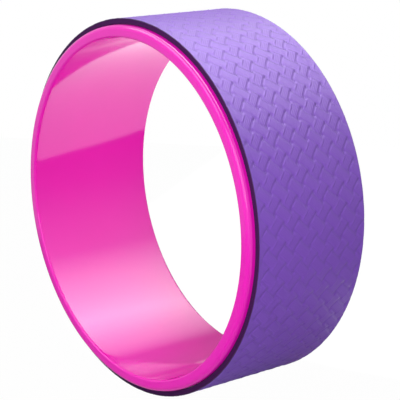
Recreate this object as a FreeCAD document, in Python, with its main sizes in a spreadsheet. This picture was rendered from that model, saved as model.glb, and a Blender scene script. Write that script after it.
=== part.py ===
import FreeCAD, Part
import math
import os
import Sketcher

# Yoga wheel: a moulded plastic hoop with a two-layer grip mat bonded round it.
# Millimetres. The origin is the wheel's centre, the hoop's axis lies along Y and +Z is up.

# Driving dimensions, each written once: alias, value, what it sets
SIZES = [
    ("bore_diameter", 298.0, "clear opening through the hoop"),
    ("hoop_wall", 10.5, "hoop thickness, from the bore out to the seat of the mat"),
    ("hoop_width", 128.0, "hoop from rim face to rim face"),
    ("rim_round", 4.5, "rounding of the outer edge of each rim"),
    ("lip_bevel", 1.5, "bevel of the inner edge of each rim"),
    ("rim_reveal", 6.5, "bare hoop that shows beside each edge of the mat"),
    ("film_thickness", 0.25, "adhesive film between hoop and mat"),
    ("film_inset", 1.5, "how far the film stops short of each edge of the mat"),
    ("foam_thickness", 4.25, "cushioning layer of the mat"),
    ("skin_thickness", 1.0, "gripping layer of the mat"),
    ("skin_bevel", 0.6, "bevel of the gripping layer's outer edges"),
    ("seam_gap", 0.6, "butt joint where the two ends of the mat meet"),
]

# Largest share of the wall that each cut of a rim may take, so that a flat rim face is left
RIM_SHARE = 0.55
LIP_SHARE = 0.3
# Largest share of the gripping layer that its bevel may take
SKIN_SHARE = 0.8

# Radii and widths worked out from the sheet, from the bore outwards
BORE_RADIUS = "Sizes.bore_diameter / 2"
SEAT_RADIUS = f"{BORE_RADIUS} + Sizes.hoop_wall"
FOAM_RADIUS = f"{SEAT_RADIUS} + Sizes.film_thickness"
SKIN_RADIUS = f"{FOAM_RADIUS} + Sizes.foam_thickness"
MAT_WIDTH = "Sizes.hoop_width - 2 * Sizes.rim_reveal"
FILM_WIDTH = f"{MAT_WIDTH} - 2 * Sizes.film_inset"
# The ends of the mat stop half a gap short of each other, opposite the +X side
MAT_SWEEP = f"360 - Sizes.seam_gap / ({SEAT_RADIUS}) * 180 / pi"
FULL_TURN = "360"

# How the corners of a section are cut: the kind of cut, then its size
RIM_CROWN = ("round", f"min(Sizes.rim_round; Sizes.rim_reveal; {RIM_SHARE} * Sizes.hoop_wall)")
BORE_LIP = ("bevel", f"min(Sizes.lip_bevel; {LIP_SHARE} * Sizes.hoop_wall)")
SKIN_EDGE = ("bevel", f"min(Sizes.skin_bevel; {SKIN_SHARE} * Sizes.skin_thickness)")
SHARP = ("sharp", "0")


def make_sheet(doc):
    sheet = doc.addObject("Spreadsheet::Sheet", "Sizes")
    for row, (alias, value, note) in enumerate(SIZES, start=1):
        sheet.set(f"A{row}", alias)
        sheet.set(f"B{row}", str(value))
        sheet.set(f"C{row}", note)
        sheet.setAlias(f"B{row}", alias)
    doc.recompute()
    return sheet


def origin_plane(body, role):
    return next(f for f in body.Origin.OriginFeatures if f.Role == role)


def step(turn, size):
    """A step along the side that is drawn on this turn: out, up, in and down again."""
    steps = [(size, 0, 0), (0, size, 0), (-size, 0, 0), (0, -size, 0)]
    return FreeCAD.Vector(*steps[turn % 4])


def corner_piece(kind, point, size, turn):
    """The bevel or arc that takes the place of the sharp corner at the end of a turn."""
    first = point - step(turn, size)
    if kind == "bevel":
        return Part.LineSegment(first, point + step(turn + 1, size))
    circle = Part.Circle(first + step(turn + 1, size), FreeCAD.Vector(0, 0, 1), size)
    return Part.ArcOfCircle(circle, (turn - 1) * math.pi / 2, turn * math.pi / 2)


def section_sketch(body, inner_radius, thickness, width, inner_corner, outer_corner):
    """Section beside the axis, radius along X and width along Y, even about the mid-plane.

    It is drawn anticlockwise: each side is followed by the piece that cuts its far corner,
    or by nothing where the corner is sharp.
    """
    sketch = body.newObject("Sketcher::SketchObject", f"{body.Label}_section")
    sketch.AttachmentSupport = [(origin_plane(body, "XY_Plane"), "")]
    sketch.MapMode = "FlatFace"

    def length(expression):
        return float(sketch.evalExpression(expression))

    inside = length(inner_radius)
    outside = inside + length(thickness)
    half = length(width) / 2
    corners = [
        (FreeCAD.Vector(outside, -half, 0), *outer_corner),
        (FreeCAD.Vector(outside, half, 0), *outer_corner),
        (FreeCAD.Vector(inside, half, 0), *inner_corner),
        (FreeCAD.Vector(inside, -half, 0), *inner_corner),
    ]
    # How a sketch numbers its horizontal axis and the two ends of a line or arc
    h_axis, start, end = -1, 1, 2
    outline = []
    sides = []
    arcs = []
    sizes = []
    for turn, (point, kind, cut) in enumerate(corners):
        point_before, _, cut_before = corners[turn - 1]
        first = point_before + step(turn, length(cut_before))
        last = point - step(turn, length(cut))
        sides.append(sketch.addGeometry(Part.LineSegment(first, last)))
        outline.append(sides[-1])
        if kind == "sharp":
            continue
        piece = sketch.addGeometry(corner_piece(kind, point, length(cut), turn))
        outline.append(piece)
        if kind == "round":
            arcs.append(piece)
            sizes.append((f"round_{turn}", ("Radius", piece), cut))
        else:
            # Each leg is measured in the direction in which it grows
            left, right = (start, end) if turn in (0, 3) else (end, start)
            low, high = (start, end) if turn in (0, 1) else (end, start)
            sizes.append((f"bevel_{turn}_across", ("DistanceX", piece, left, piece, right), cut))
            sizes.append((f"bevel_{turn}_along", ("DistanceY", piece, low, piece, high), cut))

    near, outer, far, inner = sides
    sizes.append(("inner_radius", ("DistanceX", h_axis, start, inner, start), inner_radius))
    sizes.append(("thickness", ("DistanceX", inner, end, outer, start), thickness))
    sizes.append(("width", ("DistanceY", near, start, far, start), width))

    for piece, following in zip(outline, outline[1:] + outline[:1]):
        joint = "Tangent" if piece in arcs or following in arcs else "Coincident"
        sketch.addConstraint(Sketcher.Constraint(joint, piece, end, following, start))
    sketch.addConstraint(Sketcher.Constraint("Horizontal", near))
    sketch.addConstraint(Sketcher.Constraint("Horizontal", far))
    sketch.addConstraint(Sketcher.Constraint("Vertical", inner))
    sketch.addConstraint(Sketcher.Constraint("Symmetric", outer, start, outer, end, h_axis))
    for name, rule, expression in sizes:
        index = sketch.addConstraint(Sketcher.Constraint(*rule, length(expression)))
        sketch.renameConstraint(index, name)
        sketch.setExpression(f"Constraints.{name}", expression)
    return sketch


def ring_body(doc, label, sweep, inner_radius, thickness, width, inner_corner, outer_corner):
    """A section turned about the wheel's axis, evenly to both sides of +X."""
    body = doc.addObject("PartDesign::Body", label)
    body.Label = label
    sketch = section_sketch(body, inner_radius, thickness, width, inner_corner, outer_corner)
    ring = body.newObject("PartDesign::Revolution", f"{label}_turn")
    ring.Profile = sketch
    ring.ReferenceAxis = (sketch, ["V_Axis"])
    ring.Midplane = True
    ring.setExpression("Angle", sweep)
    return body


def hoop(doc):
    return ring_body(doc, "hoop", FULL_TURN, BORE_RADIUS, "Sizes.hoop_wall", "Sizes.hoop_width",
                     BORE_LIP, RIM_CROWN)


def adhesive_film(doc):
    return ring_body(doc, "adhesive_film", MAT_SWEEP, SEAT_RADIUS, "Sizes.film_thickness", FILM_WIDTH,
                     SHARP, SHARP)


def foam_layer(doc):
    return ring_body(doc, "foam_layer", MAT_SWEEP, FOAM_RADIUS, "Sizes.foam_thickness", MAT_WIDTH,
                     SHARP, SHARP)


def grip_skin(doc):
    return ring_body(doc, "grip_skin", MAT_SWEEP, SKIN_RADIUS, "Sizes.skin_thickness", MAT_WIDTH,
                     SHARP, SKIN_EDGE)


def check(doc, bodies):
    for item in doc.Objects:
        if "Invalid" in item.State or "Error" in item.State:
            raise RuntimeError(f"{item.Label} failed to build: {item.State}")
    for body in bodies:
        shape = body.Shape
        if shape.isNull() or not shape.isValid() or len(shape.Solids) != 1:
            raise RuntimeError(f"{body.Label} is not one valid solid")


def main():
    doc = FreeCAD.newDocument("yoga_wheel")
    make_sheet(doc)
    bodies = [make(doc) for make in (hoop, adhesive_film, foam_layer, grip_skin)]
    doc.recompute()
    check(doc, bodies)
    os.makedirs("parts", exist_ok=True)
    for body in bodies:
        body.Shape.exportStep(f"parts/{body.Label}.step")
        box = body.Shape.optimalBoundingBox()
        print(f"{body.Label}: {body.Shape.Volume / 1000:.1f} cm3, "
              f"{box.XLength:.1f} x {box.YLength:.1f} x {box.ZLength:.1f} mm")


main()
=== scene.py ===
import math

import bmesh
import bpy
import numpy as np
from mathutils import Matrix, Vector


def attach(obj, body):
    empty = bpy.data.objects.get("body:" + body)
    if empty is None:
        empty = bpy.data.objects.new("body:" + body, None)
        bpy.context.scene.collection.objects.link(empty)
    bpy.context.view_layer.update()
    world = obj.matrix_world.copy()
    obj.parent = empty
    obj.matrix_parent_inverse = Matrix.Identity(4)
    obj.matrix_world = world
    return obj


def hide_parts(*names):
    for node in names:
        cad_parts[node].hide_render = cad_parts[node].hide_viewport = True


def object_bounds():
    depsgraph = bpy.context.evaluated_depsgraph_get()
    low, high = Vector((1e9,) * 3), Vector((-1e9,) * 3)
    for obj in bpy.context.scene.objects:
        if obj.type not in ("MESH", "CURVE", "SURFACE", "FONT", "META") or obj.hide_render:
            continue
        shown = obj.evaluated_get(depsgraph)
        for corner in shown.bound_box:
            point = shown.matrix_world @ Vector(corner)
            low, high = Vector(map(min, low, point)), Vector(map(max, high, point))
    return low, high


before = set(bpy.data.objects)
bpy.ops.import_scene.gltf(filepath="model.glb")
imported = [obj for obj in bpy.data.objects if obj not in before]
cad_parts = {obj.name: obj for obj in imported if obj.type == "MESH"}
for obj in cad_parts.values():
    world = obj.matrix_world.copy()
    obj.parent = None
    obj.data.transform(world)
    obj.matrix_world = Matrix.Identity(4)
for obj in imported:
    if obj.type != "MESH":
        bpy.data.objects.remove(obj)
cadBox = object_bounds()
mm = 0.001  # one millimetre in the frame's metres


def ringOf(nodeName):
    # inner radius, outer radius and half width of a CAD ring, and half the angle that it covers
    # about +X, all read off its own vertices
    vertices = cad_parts[nodeName].data.vertices
    place = np.empty(len(vertices) * 3)
    vertices.foreach_get("co", place)
    x, y, z = place.reshape(-1, 3).T
    radius = np.hypot(x, z)
    return radius.min(), radius.max(), np.abs(y).max(), np.abs(np.arctan2(z, x)).max()


def wrapRound(radius, angle, across):
    # the radius turned about Y, from +X towards +Z, and the place across the wheel kept along Y
    radius, angle, across = np.broadcast_arrays(radius, angle, across)
    return np.stack([radius * np.cos(angle), across, radius * np.sin(angle)], axis=-1)


def quadsOf(index, joinRows=False, joinColumns=False):
    # four-sided faces between neighbouring rows and columns of a grid of vertex numbers
    if joinRows:
        index = np.concatenate([index, index[:1]], axis=0)
    if joinColumns:
        index = np.concatenate([index, index[:, :1]], axis=1)
    corners = [index[:-1, :-1], index[:-1, 1:], index[1:, 1:], index[1:, :-1]]
    return np.stack(corners, axis=-1).reshape(-1, 4)


def gridNumbers(rows, columns):
    # vertex numbers of a grid, row by row
    return np.arange(rows * columns).reshape(rows, columns)


def sineSum(angle, share, waves):
    # between -1 and 1: sines of the angle round the wheel and the share of its half width, each with its
    # height, its waves in a turn, its slant and its phase
    return sum(height * np.sin(turns * angle + slant * share + phase)
               for height, turns, slant, phase in waves)


def addMesh(name, points, faces, material):
    # a mesh object at the origin, in one material
    mesh = bpy.data.meshes.new(name)
    mesh.from_pydata(points.tolist(), [], faces)
    mesh.materials.append(material)
    item = bpy.data.objects.new(name, mesh)
    bpy.context.scene.collection.objects.link(item)
    return item


def addPiece(name, points, faces, material, node):
    # a smooth piece of the wheel's one body, which takes the place of a CAD node
    piece = addMesh(name, points, faces, material)
    piece.data.polygons.foreach_set("use_smooth", np.ones(len(piece.data.polygons), bool))
    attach(piece, "root")
    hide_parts(node)
    return piece


# Materials

def newMaterial(name):
    # a material, its node tree and its main shader
    material = bpy.data.materials.new(name)
    material.use_nodes = True
    tree = material.node_tree
    return material, tree, tree.nodes["Principled BSDF"]


def addNode(tree, kind, **values):
    # a node with its properties set by name, and its inputs by name or number under "sockets"
    node = tree.nodes.new(kind)
    for socket, value in values.pop("sockets", {}).items():
        node.inputs[socket].default_value = value
    for key, value in values.items():
        setattr(node, key, value)
    return node


def addRamp(tree, factor, positions, colours):
    # a colour ramp with these colours at these positions
    ramp = addNode(tree, "ShaderNodeValToRGB")
    elements = ramp.color_ramp.elements
    while len(elements) < len(colours):
        elements.new(1.0)
    for element, position, colour in zip(elements, positions, colours):
        element.position = position
        element.color = (*colour, 1.0)
    tree.links.new(factor, ramp.inputs["Fac"])
    return ramp.outputs["Color"]


def addRange(tree, value, low, high, fromLow=0.0, fromHigh=1.0):
    # a value moved from one range to another
    remap = addNode(tree, "ShaderNodeMapRange")
    tree.links.new(value, remap.inputs["Value"])
    limits = (("From Min", fromLow), ("From Max", fromHigh), ("To Min", low), ("To Max", high))
    for socket, limit in limits:
        remap.inputs[socket].default_value = limit
    return remap.outputs["Result"]


def addMath(tree, operation, first, second):
    # a value worked out from two others, each of them linked or fixed
    node = addNode(tree, "ShaderNodeMath", operation=operation)
    for socket, value in zip(node.inputs, (first, second)):
        if isinstance(value, (int, float)):
            socket.default_value = value
        else:
            tree.links.new(value, socket)
    return node.outputs[0]


def addMix(tree, factor, first, secondColour):
    # a linked colour blended into a fixed one; a mix node's colours are its sockets 6 and 7, and 2 comes out
    mix = addNode(tree, "ShaderNodeMix", data_type="RGBA", sockets={7: (*secondColour, 1.0)})
    tree.links.new(factor, mix.inputs[0])
    tree.links.new(first, mix.inputs[6])
    return mix.outputs[2]


def addBump(tree, height, distance, strength, normal=None):
    # a normal tilted by the slope of a height, on top of another one if that is given
    bump = addNode(tree, "ShaderNodeBump", sockets={"Strength": strength, "Distance": distance})
    tree.links.new(height, bump.inputs["Height"])
    if normal:
        tree.links.new(normal, bump.inputs["Normal"])
    return bump.outputs["Normal"]


mottling = dict(mottleDetail=3.0, grainDetail=5.0, roughness=0.55)


def makeGrainGroup():
    # slow mottling and fine grain, read from one position: both are noise, from 0 to 1
    group = bpy.data.node_groups.new("grainAndMottle", "ShaderNodeTree")
    group.interface.new_socket("Position", in_out="INPUT", socket_type="NodeSocketVector")
    for name in ("Mottle Scale", "Grain Scale"):
        group.interface.new_socket(name, in_out="INPUT", socket_type="NodeSocketFloat")
    for name in ("Mottle", "Grain"):
        group.interface.new_socket(name, in_out="OUTPUT", socket_type="NodeSocketFloat")
    entry = addNode(group, "NodeGroupInput")
    leave = addNode(group, "NodeGroupOutput")
    for name, detail in (("Mottle", mottling["mottleDetail"]), ("Grain", mottling["grainDetail"])):
        look = {"Detail": detail, "Roughness": mottling["roughness"]}
        noise = addNode(group, "ShaderNodeTexNoise", sockets=look)
        group.links.new(entry.outputs["Position"], noise.inputs["Vector"])
        group.links.new(entry.outputs[f"{name} Scale"], noise.inputs["Scale"])
        group.links.new(noise.outputs["Fac"], leave.inputs[name])
    return group


grainGroup = makeGrainGroup()


def addGrain(tree, mottleScale, grainScale=1.0):
    # the group's mottling and grain over a piece; a material that shows no grain gives no scale for it
    coords = addNode(tree, "ShaderNodeTexCoord")
    grain = addNode(tree, "ShaderNodeGroup", node_tree=grainGroup)
    grain.inputs["Mottle Scale"].default_value = mottleScale
    grain.inputs["Grain Scale"].default_value = grainScale
    tree.links.new(coords.outputs["Object"], grain.inputs["Position"])
    return grain.outputs["Mottle"], grain.outputs["Grain"]


# Hoop: one moulded ring with rounded rims

hoop = dict(
    turns=480,  # steps round the wheel
    # rounding and steps of the rims' outer and inner edges, and steps along the flat stretches
    section=dict(outerEdge=(4.5 * mm, 10), innerEdge=(2.0 * mm, 8),
                 sideSteps=4, outsideSteps=24, insideSteps=24),
    ripple=0.09 * mm,  # how far the moulded bore strays from a true round
    rippleWaves=((1 / 3, 9, 2, 0), (1 / 3, 17, -3, 1), (1 / 3, 4, 5, 0)),  # height, waves, slant, phase
    rippleReach=1.0 * mm, ripplePower=4,  # how the ripple fades off the bore and towards its lips
    # two colours, and where in the mottling each one lies
    colour=(0.88, 0.004, 0.50), paleColour=(0.90, 0.006, 0.52), stops=(0.3, 0.7),
    roughness=(0.07, 0.11), refraction=1.45, mottleScale=9.0,
)


def plasticMaterial():
    material, tree, shader = newMaterial("pinkMouldedPlastic")
    mottle, _ = addGrain(tree, hoop["mottleScale"])
    colour = addRamp(tree, mottle, hoop["stops"], (hoop["colour"], hoop["paleColour"]))
    tree.links.new(colour, shader.inputs["Base Color"])
    tree.links.new(addRange(tree, mottle, *hoop["roughness"]), shader.inputs["Roughness"])
    shader.inputs["IOR"].default_value = hoop["refraction"]
    return material


def spaced(first, last, steps):
    # steps from first towards last, closest at both ends (half a cosine), without the last one
    phase = np.arange(steps) * math.pi / steps
    return (first + last) / 2 - (last - first) / 2 * np.cos(phase)


def flatStretch(first, last, steps):
    # a straight stretch of a profile between two (radius, across) points
    return np.stack([spaced(a, b, steps) for a, b in zip(first, last)], axis=-1)


def quarterRound(centre, radius, startTurn, steps):
    # a quarter circle about a centre, begun after a number of quarter turns, without its last point
    turn = (startTurn + np.arange(steps) / steps) * math.pi / 2
    return np.asarray(centre) + radius * np.stack([np.cos(turn), np.sin(turn)], axis=-1)


def ringProfile(inner, outer, half, outerEdge, innerEdge, sideSteps, outsideSteps, insideSteps):
    # a rounded oblong as (radius, across) points, anticlockwise: near side, outer edge, outside, outer edge,
    # far side, inner edge, inside, inner edge
    crown, crownSteps = outerEdge
    lip, lipSteps = innerEdge
    return np.concatenate([
        flatStretch((inner + lip, -half), (outer - crown, -half), sideSteps),
        quarterRound((outer - crown, crown - half), crown, 3, crownSteps),
        flatStretch((outer, crown - half), (outer, half - crown), outsideSteps),
        quarterRound((outer - crown, half - crown), crown, 0, crownSteps),
        flatStretch((outer - crown, half), (inner + lip, half), sideSteps),
        quarterRound((inner + lip, half - lip), lip, 1, lipSteps),
        flatStretch((inner, half - lip), (inner, lip - half), insideSteps),
        quarterRound((inner + lip, lip - half), lip, 2, lipSteps),
    ])


def boreRipple(radius, share, angle, bore):
    # how far the bore lies outside a true round: a few crossing sines, which fade towards both lips
    onBore = np.clip(1 - (radius - bore) / hoop["rippleReach"], 0, 1) * (1 - share ** hoop["ripplePower"])
    return hoop["ripple"] * onBore * (1 + sineSum(angle, share, hoop["rippleWaves"])) / 2


def makeHoop():
    # the section carried round the axis, a closed ring both ways
    bore, rim, half, _ = ringOf("hoop")
    radius, across = ringProfile(bore, rim, half, **hoop["section"]).T[:, None]
    angle = np.arange(hoop["turns"])[:, None] * 2 * math.pi / hoop["turns"]
    points = wrapRound(radius + boreRipple(radius, across / half, angle, bore), angle, across)
    faces = quadsOf(gridNumbers(*points.shape[:2]), joinRows=True, joinColumns=True).tolist()
    return addPiece("hoopRing", points.reshape(-1, 3), faces, plasticMaterial(), "hoop")


hoopRing = makeHoop()
print("hoop done:", len(hoopRing.data.polygons), "faces")


# Film: the CAD node stays, with an adhesive's finish

film = dict(
    colour=(0.72, 0.68, 0.56), thinColour=(0.80, 0.77, 0.66), stops=(0.35, 0.65), roughness=(0.45, 0.65),
    mottleScale=60.0, grainScale=700.0, grainHeight=0.05 * mm, grainStrength=0.5,
)


def filmMaterial():
    material, tree, shader = newMaterial("adhesiveFilm")
    mottle, grain = addGrain(tree, film["mottleScale"], film["grainScale"])
    colour = addRamp(tree, mottle, film["stops"], (film["colour"], film["thinColour"]))
    tree.links.new(colour, shader.inputs["Base Color"])
    tree.links.new(addRange(tree, grain, *film["roughness"]), shader.inputs["Roughness"])
    bump = addBump(tree, grain, film["grainHeight"], film["grainStrength"])
    tree.links.new(bump, shader.inputs["Normal"])
    return material


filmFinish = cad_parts["adhesive_film"].data.materials
filmFinish.clear()
filmFinish.append(filmMaterial())
print("film done")


# Foam: the cushioning strip under the grip, cut square at its sides

foam = dict(
    steps=720,  # along the strip
    section=dict(outerEdge=(0.35 * mm, 3), innerEdge=(0.35 * mm, 3),
                 sideSteps=6, outsideSteps=8, insideSteps=8),
    waver=0.06 * mm,  # how far the knife strayed along the cut sides
    waverWaves=((0.5, 23, 2, 0), (0.3, 57, 0, 1), (0.2, 131, 0, 0)),  # height, waves, slant, phase
    colour=(0.032, 0.006, 0.050), cellColour=(0.060, 0.012, 0.090), stops=(0.15, 0.75),
    roughness=(0.75, 0.95), gloss=0.15, mottleScale=45.0, mottleShade=(0.7, 1.3),
    cellScale=1500.0, cellHeight=0.12 * mm, cellStrength=0.6,
)


def foamMaterial():
    material, tree, shader = newMaterial("darkClosedCellFoam")
    mottle, grain = addGrain(tree, foam["mottleScale"], foam["cellScale"])
    coords = addNode(tree, "ShaderNodeTexCoord")
    cells = addNode(tree, "ShaderNodeTexVoronoi", sockets={"Scale": foam["cellScale"]})
    tree.links.new(coords.outputs["Object"], cells.inputs["Vector"])
    shade = addMath(tree, "MULTIPLY", cells.outputs["Distance"], addRange(tree, mottle, *foam["mottleShade"]))
    colour = addRamp(tree, shade, foam["stops"], (foam["colour"], foam["cellColour"]))
    tree.links.new(colour, shader.inputs["Base Color"])
    tree.links.new(addRange(tree, grain, *foam["roughness"]), shader.inputs["Roughness"])
    bump = addBump(tree, cells.outputs["Distance"], foam["cellHeight"], foam["cellStrength"])
    tree.links.new(bump, shader.inputs["Normal"])
    shader.inputs["Specular IOR Level"].default_value = foam["gloss"]
    return material


def makeFoam():
    # a rounded oblong section carried along the sweep, its sides wavering by a few sines, capped at
    # both ends
    inner, outer, half, sweep = ringOf("foam_layer")
    radius, across = ringProfile(inner, outer, half, **foam["section"]).T[:, None]
    angle = np.linspace(-sweep, sweep, foam["steps"])[:, None]
    share = across / half
    waver = foam["waver"] * (1 + sineSum(angle, share, foam["waverWaves"])) / 2
    points = wrapRound(radius, angle, across - waver * share)
    index = gridNumbers(*points.shape[:2])
    faces = quadsOf(index, joinColumns=True).tolist()
    faces += [index[0, ::-1].tolist(), index[-1].tolist()]
    piece = addPiece("foamStrip", points.reshape(-1, 3), faces, foamMaterial(), "foam_layer")
    return piece


foamStrip = makeFoam()
print("foam done:", len(foamStrip.data.polygons), "faces")


# Grip skin: a basket-weave relief, strands crossing on the slant

skin = dict(
    pitch=17.3 * mm,  # from one crossing to the next of the same kind
    turnDegrees=-3.5,  # how far the weave is turned off the wheel's edge
    anchorAngle=33.36, anchorAcross=-36.3 * mm,  # one crossing, in degrees round and in metres across
    depth=0.85 * mm,  # of the relief, from height 1 down to height 0
    edgeFade=3.5 * mm, edgeDepth=0.35,  # the relief is shallower along the edges: how far in, and its share
    # both kinds of strand, in tiles: the middle line, half width at top and foot, the ramps at the two ends
    # of a crown (foot and top, top and foot), its height, the swelling at one end of it (from where to
    # where, how high, and how far to one side), and the height of the dip
    steep=dict(centre=0.0, top=0.33, foot=0.39, first=(-0.90, -0.82), last=(0.42, 0.5),
               level=0.66, swellFrom=-0.72, swellTo=-0.82, swell=0.34, swellSide=0.24, low=0.0),
    slack=dict(centre=-0.12, top=0.34, foot=0.38, first=(-0.55, -0.47), last=(0.53, 0.61),
               level=0.50, swellFrom=0.33, swellTo=0.45, swell=0.22, swellSide=0.8, low=0.15),
    swellFade=0.2,  # over how much of a tile the swelling dies away at its side
    pit=0.05,  # height of the pits between strands
    shoulder=0.18, shoulderPower=3.0,  # how far the top of a strand is rounded off at its sides
    # where the grid's lines lie in one tile, across the steep strands and across the slack ones
    nodesUp=(-0.47, -0.39, -0.33, -0.22, 0.0, 0.22, 0.33, 0.39, 0.45),
    nodesDown=(-0.5, -0.46, -0.34, -0.2, -0.05, 0.10, 0.14, 0.18, 0.22, 0.28, 0.35, 0.42),
    edgeRound=0.6 * mm, edgeRows=(30.0, 60.0, 90.0),  # rounding of the edges, and the turn at each row
    edgeShare=0.6,  # how much of the edge's height the rounding takes
    edgeShade=(0.5, 0.9, 1.0, 1.0),  # how far each row down the edge is as dark as the foam
    snap=0.05 * mm,  # how near the trimmed edge a grid corner counts as lying on it
    weldReach=0.001 * mm,  # how near each other two corners become one
    # the pits' colour is painted shade, darker than the body, and the crowns' colour is painted light, a
    # little lighter
    colour=(0.24, 0.087, 0.60), pitShadeColour=(0.215, 0.078, 0.54), crownLitColour=(0.25, 0.091, 0.62),
    heightPaintedShade=(0.0, 0.8), mottleTone=(-0.1, 0.3),  # painted shade and light by height, darker in the pits and lighter on the crowns, and what mottling adds to the tone
    stops=(0.05, 0.6, 1.0),  # tones of the painted shade in the pits, the body and the painted light on the crowns
    roughness=(0.36, 0.52), roughSpan=(0.3, 0.7), gloss=0.4,  # roughness over this span of the grain
    mottleScale=30.0, grainScale=1600.0, grainHeight=0.03 * mm, grainStrength=0.5,
    ribPitch=1.5 * mm, ribHeight=0.15 * mm, ribStrength=0.8,
)


def skinMaterial():
    material, tree, shader = newMaterial("purpleGripSkin")
    mottle, grain = addGrain(tree, skin["mottleScale"], skin["grainScale"])
    height = addNode(tree, "ShaderNodeAttribute", attribute_name="crown").outputs["Fac"]
    shade = addNode(tree, "ShaderNodeAttribute", attribute_name="cutEdge").outputs["Fac"]
    strand = addNode(tree, "ShaderNodeUVMap", uv_map="strand").outputs["UV"]
    # ribs that run along each strand and show where it dips: a cosine of the place across it
    across = addNode(tree, "ShaderNodeSeparateXYZ")
    tree.links.new(strand, across.inputs["Vector"])
    phase = addMath(tree, "MULTIPLY", across.outputs["X"], 2 * math.pi / skin["ribPitch"])
    rib = addRange(tree, addMath(tree, "COSINE", phase, 0.0), 0.0, 1.0, -1.0, 1.0)
    # the tone is painted shade by height, darker in the pits and lighter on the crowns, plus the mottling
    shadeAndMottle = addMath(tree, "ADD", addRange(tree, height, *skin["heightPaintedShade"]),
                   addRange(tree, mottle, *skin["mottleTone"]))
    purple = addRamp(tree, shadeAndMottle, skin["stops"], (skin["pitShadeColour"], skin["colour"], skin["crownLitColour"]))
    tree.links.new(addMix(tree, shade, purple, foam["colour"]), shader.inputs["Base Color"])
    rough = addRange(tree, grain, *skin["roughness"], *skin["roughSpan"])
    tree.links.new(rough, shader.inputs["Roughness"])
    dip = addRange(tree, height, 1.0, 0.0)
    ribbed = addBump(tree, addMath(tree, "MULTIPLY", rib, dip), skin["ribHeight"], skin["ribStrength"])
    grained = addBump(tree, grain, skin["grainHeight"], skin["grainStrength"], ribbed)
    tree.links.new(grained, shader.inputs["Normal"])
    shader.inputs["Specular IOR Level"].default_value = skin["gloss"]
    return material


def weavePlace(along, across):
    # lattice numbers of a place on the flat strip: turned with the weave, counted in pitches, then on
    # the slant
    turn = math.radians(skin["turnDegrees"])
    first = (along * math.cos(turn) + across * math.sin(turn)) / skin["pitch"]
    second = (across * math.cos(turn) - along * math.sin(turn)) / skin["pitch"]
    return first + second, first - second


def stripPlace(slantUp, slantDown):
    # the way back from lattice numbers to a place on the flat strip
    turn = math.radians(skin["turnDegrees"])
    first = (slantUp + slantDown) / 2 * skin["pitch"]
    second = (slantUp - slantDown) / 2 * skin["pitch"]
    return first * math.cos(turn) - second * math.sin(turn), first * math.sin(turn) + second * math.cos(turn)


def strandHeight(offSide, alongFromCrown, strand):
    # height of a strand, up to 1: a level crown that swells at one end, a ramp at either end down to where it
    # passes under the others, a rounding at the sides and a steep wall beyond them, again every second tile
    along = (alongFromCrown + 1) % 2 - 1
    (footStart, topStart), (topEnd, footEnd) = strand["first"], strand["last"]
    ramp = np.minimum((along - footStart) / (topStart - footStart), (footEnd - along) / (footEnd - topEnd))
    grown = np.clip((along - strand["swellFrom"]) / (strand["swellTo"] - strand["swellFrom"]), 0, 1)
    inReach = np.clip((strand["swellSide"] - offSide) / skin["swellFade"], 0, 1)
    crown = strand["level"] + strand["swell"] * grown * inReach
    side = np.abs(offSide - strand["centre"])
    rounding = skin["shoulder"] * np.minimum(side / strand["top"], 1) ** skin["shoulderPower"]
    wall = np.clip((side - strand["top"]) / (strand["foot"] - strand["top"]), 0, 1)
    height = strand["low"] + (crown * (1 - rounding) - strand["low"]) * np.clip(ramp, 0, 1)
    return height + (skin["pit"] - height) * wall


def crossingStrands(slantUp, slantDown):
    # heights of the two strands that cross at a place: they take turns to be on top, tile by tile
    rising, falling = np.round(slantUp), np.round(slantDown)
    return (strandHeight(slantUp - rising, slantDown - rising, skin["steep"]),
            strandHeight(slantDown - falling, slantUp - falling - 1, skin["slack"]))


def crownHeight(slantUp, slantDown):
    # height of the relief, between 0 and 1: that of the higher strand
    return np.maximum(*crossingStrands(slantUp, slantDown))


def openEdges(faces):
    # edges that belong to one face only, in the direction in which that face runs
    start, end = faces.ravel(), np.roll(faces, -1, axis=1).ravel()
    key = np.minimum(start, end) * (faces.max() + 1) + np.maximum(start, end)
    _, first, count = np.unique(key, return_index=True, return_counts=True)
    single = first[count == 1]
    return start[single], end[single]


def pulledBack(place, limit):
    # places at or beyond a limit on either side, moved onto it
    return np.where(np.abs(place) > limit - skin["snap"], np.sign(place) * limit, place)


def weaveSheet(halfAlong, halfAcross, outer):
    # a grid along both slants of the weave, a little past the strip on all sides and then trimmed to it:
    # corners beyond its edge are pulled back to it, and faces wholly beyond it go
    shiftAlong = math.radians(skin["anchorAngle"]) * outer
    reach = math.ceil(2 * (halfAlong + shiftAlong) / skin["pitch"]) + 2
    tiles = np.arange(-reach, reach)[:, None]
    rows = [(tiles + np.array(skin[name])).ravel() for name in ("nodesUp", "nodesDown")]
    slantUp, slantDown = np.meshgrid(*rows, indexing="ij")
    along, across = stripPlace(slantUp, slantDown)
    along, across = along + shiftAlong, across + skin["anchorAcross"]
    inside = (np.abs(along) < halfAlong - skin["snap"]) & (np.abs(across) < halfAcross - skin["snap"])
    faces = quadsOf(gridNumbers(*along.shape))
    faces = faces[inside.ravel()[faces].any(axis=1)]
    used, faces = np.unique(faces, return_inverse=True)
    faces = faces.reshape(-1, 4)[:, ::-1]
    along = pulledBack(along.ravel()[used], halfAlong)
    across = pulledBack(across.ravel()[used], halfAcross)
    slantUp, slantDown = weavePlace(along - shiftAlong, across - skin["anchorAcross"])
    return along, across, slantUp, slantDown, faces


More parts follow.
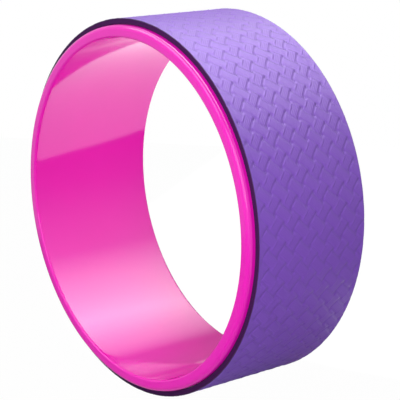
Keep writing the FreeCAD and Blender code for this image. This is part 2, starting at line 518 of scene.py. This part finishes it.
def strandMap(slantUp, slantDown, faces):
    # for each face corner, its place across and along the strand that is on top there, in metres
    up, down = slantUp[faces], slantDown[faces]
    middleUp, middleDown = up.mean(axis=1, keepdims=True), down.mean(axis=1, keepdims=True)
    rising, falling = crossingStrands(middleUp, middleDown)
    offUp, offDown = up - np.round(middleUp), down - np.round(middleDown)
    across = np.where(rising > falling, offUp, offDown)
    along = np.where(rising > falling, offDown, offUp)
    return skin["pitch"] / math.sqrt(2) * np.stack([across, along], axis=-1).reshape(-1, 2)


def zipUp(near, nearPlace, far, farPlace):
    # triangles between two rows of vertices, each ordered by its place: every next vertex, taken in order
    # from either row, closes a triangle with the last one of both rows
    order = np.argsort(np.concatenate([nearPlace, farPlace]), kind="stable")
    isNear = order < len(near)
    lastNear = np.maximum.accumulate(np.where(isNear, order, 0))
    lastFar = np.maximum.accumulate(np.where(isNear, len(near), order)) - len(near)
    both = np.arange(1, len(order))
    corner = np.where(isNear[both], near[lastNear[both]], far[lastFar[both]])
    triangles = np.stack([near[lastNear[both - 1]], corner, far[lastFar[both - 1]]], axis=-1)
    distinct = (triangles[:, 0] != triangles[:, 1]) & (triangles[:, 1] != triangles[:, 2])
    return triangles[distinct]


def weld(mesh):
    # corners that the trimming brought together become one
    shape = bmesh.new()
    shape.from_mesh(mesh)
    bmesh.ops.remove_doubles(shape, verts=shape.verts, dist=skin["weldReach"])
    shape.to_mesh(mesh)
    shape.free()


def makeSkin():
    # the relief wrapped round the foam, with rounded edges, square walls and a plain underside
    inner, outer, half, sweep = ringOf("grip_skin")
    edge = skin["edgeRound"]
    halfAlong = sweep * outer
    along, across, slantUp, slantDown, faces = weaveSheet(halfAlong - edge, half - edge, outer)
    crown = crownHeight(slantUp, slantDown)
    fromEdge = np.clip((half - edge - np.abs(across)) / skin["edgeFade"], 0, 1)
    radius = outer - skin["depth"] * (1 - crown) * (skin["edgeDepth"] + (1 - skin["edgeDepth"]) * fromEdge)

    # rows that round the edge off and run down to the underside
    start, end = openEdges(faces)
    border, ends = np.unique(np.concatenate([start, end]), return_inverse=True)
    start, end = ends.reshape(2, -1)
    outAlong = np.sign(along[border]) * (np.abs(along[border]) >= halfAlong - edge)
    outAcross = np.sign(across[border]) * (np.abs(across[border]) >= half - edge)
    turn = np.radians(skin["edgeRows"])[:, None]
    drop = np.append(skin["edgeShare"] * (1 - np.cos(turn)), [[1.0]], axis=0)
    reach = np.append(edge * np.sin(turn), [[edge]], axis=0)
    rowAlong = (along[border] + outAlong * reach).ravel()
    rowAcross = (across[border] + outAcross * reach).ravel()
    rowRadius = (radius[border] - (radius[border] - inner) * drop).ravel()
    rows = np.vstack([border, len(along) + gridNumbers(len(reach), len(border))])
    walls = np.stack([rows[:-1, end], rows[:-1, start], rows[1:, start], rows[1:, end]], axis=-1)

    # underside between the two long edges, and one strip at each end
    foot = rows[-1]
    footAlong, footAcross = rowAlong[-len(border):], rowAcross[-len(border):]
    nearSide = np.flatnonzero(outAcross < 0)[np.argsort(footAlong[outAcross < 0])]
    farSide = np.flatnonzero(outAcross > 0)[np.argsort(footAlong[outAcross > 0])]
    under = zipUp(foot[nearSide], footAlong[nearSide], foot[farSide], footAlong[farSide])
    seams = []
    for sign, last in ((-1, 0), (1, -1)):
        seam = np.flatnonzero((outAlong == sign) & (outAcross == 0))
        seam = foot[seam[np.argsort(footAcross[seam])]]
        loop = [foot[nearSide[last]], *seam, foot[farSide[last]]]
        seams.append([int(corner) for corner in (loop[::-1] if sign < 0 else loop)])

    points = wrapRound(np.append(radius, rowRadius), np.append(along, rowAlong) / outer,
                       np.append(across, rowAcross))
    allFaces = faces.tolist() + walls.reshape(-1, 4).tolist() + under.tolist() + seams
    piece = addPiece("gripSkin", points, allFaces, skinMaterial(), "grip_skin")

    mesh = piece.data
    level = np.append(crown, np.tile(crown[border], len(reach)))
    shade = np.append(np.zeros(len(crown)), np.repeat(skin["edgeShade"], len(border)))
    for name, values in (("crown", level), ("cutEdge", shade)):
        mesh.attributes.new(name, "FLOAT", "POINT").data.foreach_set("value", values)
    strand = np.zeros((len(mesh.loops), 2))
    strand[:faces.size] = strandMap(slantUp, slantDown, faces)
    mesh.uv_layers.new(name="strand").data.foreach_set("uv", strand.ravel())
    weld(mesh)
    return piece


gripSkin = makeSkin()
print("skin done:", len(gripSkin.data.polygons), "faces")


# Stage, light and camera

studio = dict(
    tableAngle=40.2,  # direction of the table's right edge from the wheel, in degrees from +X towards +Y
    tableRight=0.253, tableLeft=0.55, tableDepth=1.0,  # how far the table reaches, in metres
    tableColour=(0.55, 0.55, 0.55), tableRoughness=0.8,
    cameraGlow=0.985, mirrorGlow=0.1,  # how white the table is to the camera, and in reflections
    worldColour=(0.95, 0.95, 1.0), worldStrength=0.05,
)


def addRays(tree):
    # two masks: where the camera looks, and where a reflection or a see-through piece does
    path = addNode(tree, "ShaderNodeLightPath")
    mirrored = addMath(tree, "MAXIMUM", path.outputs["Is Glossy Ray"], path.outputs["Is Transmission Ray"])
    return path.outputs["Is Camera Ray"], mirrored


def blendSurface(tree, share, first, second, outputName):
    # one shader over another by a share, put out as the surface
    mix = addNode(tree, "ShaderNodeMixShader")
    for value, socket in zip((share, first, second), mix.inputs):
        tree.links.new(value, socket)
    tree.links.new(mix.outputs["Shader"], tree.nodes[outputName].inputs["Surface"])


def makeStage():
    # a pale table top under the wheel, which the camera sees as white but for a trace of shadow
    right, left, depth = studio["tableRight"], -studio["tableLeft"], studio["tableDepth"]
    turn = math.radians(studio["tableAngle"])
    outward, sideways = np.array([[math.cos(turn), math.sin(turn), 0], [-math.sin(turn), math.cos(turn), 0]])
    reach = np.array([(left, -depth), (right, -depth), (right, depth), (left, depth)])
    corners = reach[:, :1] * outward + reach[:, 1:] * sideways + (0, 0, cadBox[0][2])
    material, tree, shader = newMaterial("paleTableTop")
    shader.inputs["Base Color"].default_value = (*studio["tableColour"], 1.0)
    shader.inputs["Roughness"].default_value = studio["tableRoughness"]
    shader.inputs["Specular IOR Level"].default_value = 0.0
    white = addNode(tree, "ShaderNodeEmission")
    seen, mirrored = addRays(tree)
    share = addMath(tree, "MAXIMUM", addMath(tree, "MULTIPLY", seen, studio["cameraGlow"]),
                    addMath(tree, "MULTIPLY", mirrored, studio["mirrorGlow"]))
    blendSurface(tree, share, shader.outputs["BSDF"], white.outputs["Emission"], "Material Output")
    addMesh("tableTop", corners, [range(len(corners))], material)


def makeWorld():
    # dim light all round, and white wherever the camera, a reflection or a see-through piece looks
    world = bpy.data.worlds.new("studio")
    world.use_nodes = True
    tree = world.node_tree
    ambient = tree.nodes["Background"]
    ambient.inputs["Color"].default_value = (*studio["worldColour"], 1.0)
    ambient.inputs["Strength"].default_value = studio["worldStrength"]
    white = addNode(tree, "ShaderNodeBackground", sockets={"Color": (1.0, 1.0, 1.0, 1.0)})
    share = addMath(tree, "MAXIMUM", *addRays(tree))
    blendSurface(tree, share, ambient.outputs["Background"], white.outputs["Background"], "World Output")
    bpy.context.scene.world = world


cards = dict(
    # a sweep round the wheel's axis: its radius, then for each height, in degrees up from +X, how far it
    # reaches along the axis and how bright it is
    radius=1.1,
    height=(-55.0, -10.0, 15.0, 40.0, 65.0, 95.0, 115.0, 140.0, 175.0),
    near=(0.25, 0.25, 0.25, 0.1, 0.0, 0.0, 0.0, 0.25, 0.25),
    far=(1.5, 1.5, 1.5, 1.2, 1.0, 0.95, 1.0, 1.5, 1.5),
    brightness=(0.1, 0.6, 1.3, 2.0, 6.5, 10.0, 5.0, 0.6, 0.3),
    steps=116,
    # a flat card on the table behind the wheel: its corners, and its brightness
    flat=((0.19, 0.167), (-0.428, 0.9), (-0.9, 0.9), (-0.35, 0.095), (-0.02, 0.094), (0.07, 0.116)),
    lift=1.0 * mm, flatBrightness=2.4,
)


def makeCard(name, points, faces, brightness, unseen):
    # a white card that glows by its own brightness at each corner, and isn't seen in some ways
    material, tree, shader = newMaterial(name)
    tree.nodes.remove(shader)
    glow = addNode(tree, "ShaderNodeEmission")
    strength = addNode(tree, "ShaderNodeAttribute", attribute_name="brightness").outputs["Fac"]
    tree.links.new(strength, glow.inputs["Strength"])
    tree.links.new(glow.outputs["Emission"], tree.nodes["Material Output"].inputs["Surface"])
    card = addMesh(name, points, faces, material)
    card.data.attributes.new("brightness", "FLOAT", "POINT").data.foreach_set("value", brightness)
    for use in ("camera", "transmission", "volume_scatter", "shadow", *unseen):
        setattr(card, f"visible_{use}", False)


def makeCards():
    # a curved card whose reach and brightness run in straight steps from height to height, and a flat one on
    # the table
    degrees = np.linspace(cards["height"][0], cards["height"][-1], cards["steps"])
    near, far, level = [np.interp(degrees, cards["height"], cards[name])
                        for name in ("near", "far", "brightness")]
    points = wrapRound(cards["radius"], np.radians(degrees), np.stack([near, far])).reshape(-1, 3)
    faces = quadsOf(gridNumbers(2, len(degrees))).tolist()
    makeCard("sweepCard", points, faces, np.tile(level, 2), ("diffuse",))
    flat = np.array([(x, y, cadBox[0][2] + cards["lift"]) for x, y in cards["flat"]])
    makeCard("tableCard", flat, [range(len(flat))], np.full(len(flat), cards["flatBrightness"]), ())


softboxes = dict(
    overheadLeft=dict(place=(-0.3, -0.65, 1.05), size=(1.8, 0.6), watts=12.5),
    rightFront=dict(place=(1.1, -0.95, 0.6), size=(1.0, 1.0), watts=9.6),
    lowFront=dict(place=(0.95, -0.75, 0.0), size=(0.8, 0.25), watts=4.2, unseen="glossy"),
)


def makeSoftbox(name, place, size, watts, unseen=None):
    # a soft lamp turned towards the wheel's centre, which some kind of ray may not see
    light = bpy.data.lights.new(name, "AREA")
    light.shape = "RECTANGLE"
    light.size, light.size_y = size
    light.energy = watts
    lamp = bpy.data.objects.new(name, light)
    lamp.location = place
    lamp.rotation_euler = (-Vector(place)).to_track_quat("-Z", "Y").to_euler()
    if unseen:
        setattr(lamp, f"visible_{unseen}", False)
    bpy.context.scene.collection.objects.link(lamp)


photoView = dict(
    azimuth=51.771, elevation=14.098, distance=1.26379,  # degrees, and metres from the wheel's centre
    pan=0.553, tilt=-0.022,  # degrees off the centre, to the right and up
    focalPixels=1421.26, imagePixels=400, sensor=36.0,  # focal length and width in pixels, and width in mm
)


def makeCamera():
    # placed by its direction and distance from the wheel's centre, then turned a little off the centre
    azimuth, elevation = math.radians(photoView["azimuth"]), math.radians(photoView["elevation"])
    pan, tilt = math.radians(photoView["pan"]), math.radians(photoView["tilt"])
    back = Vector((math.sin(azimuth) * math.cos(elevation), -math.cos(azimuth) * math.cos(elevation),
                   math.sin(elevation)))
    right = (-back).cross(Vector((0, 0, 1))).normalized()
    up = right.cross(-back)
    look = -back + right * math.tan(pan) + up * math.tan(tilt)
    data = bpy.data.cameras.new("photoCamera")
    data.sensor_width = photoView["sensor"]
    data.lens = photoView["focalPixels"] / photoView["imagePixels"] * photoView["sensor"]
    camera = bpy.data.objects.new("photoCamera", data)
    camera.location = back * photoView["distance"]
    camera.rotation_euler = look.to_track_quat("-Z", "Y").to_euler()
    bpy.context.scene.collection.objects.link(camera)
    bpy.context.scene.camera = camera


makeStage()
makeCards()
makeWorld()
for boxName, settings in softboxes.items():
    makeSoftbox(boxName, **settings)
makeCamera()
bpy.context.scene.view_settings.view_transform = "Standard"
print("stage, lights and camera done")
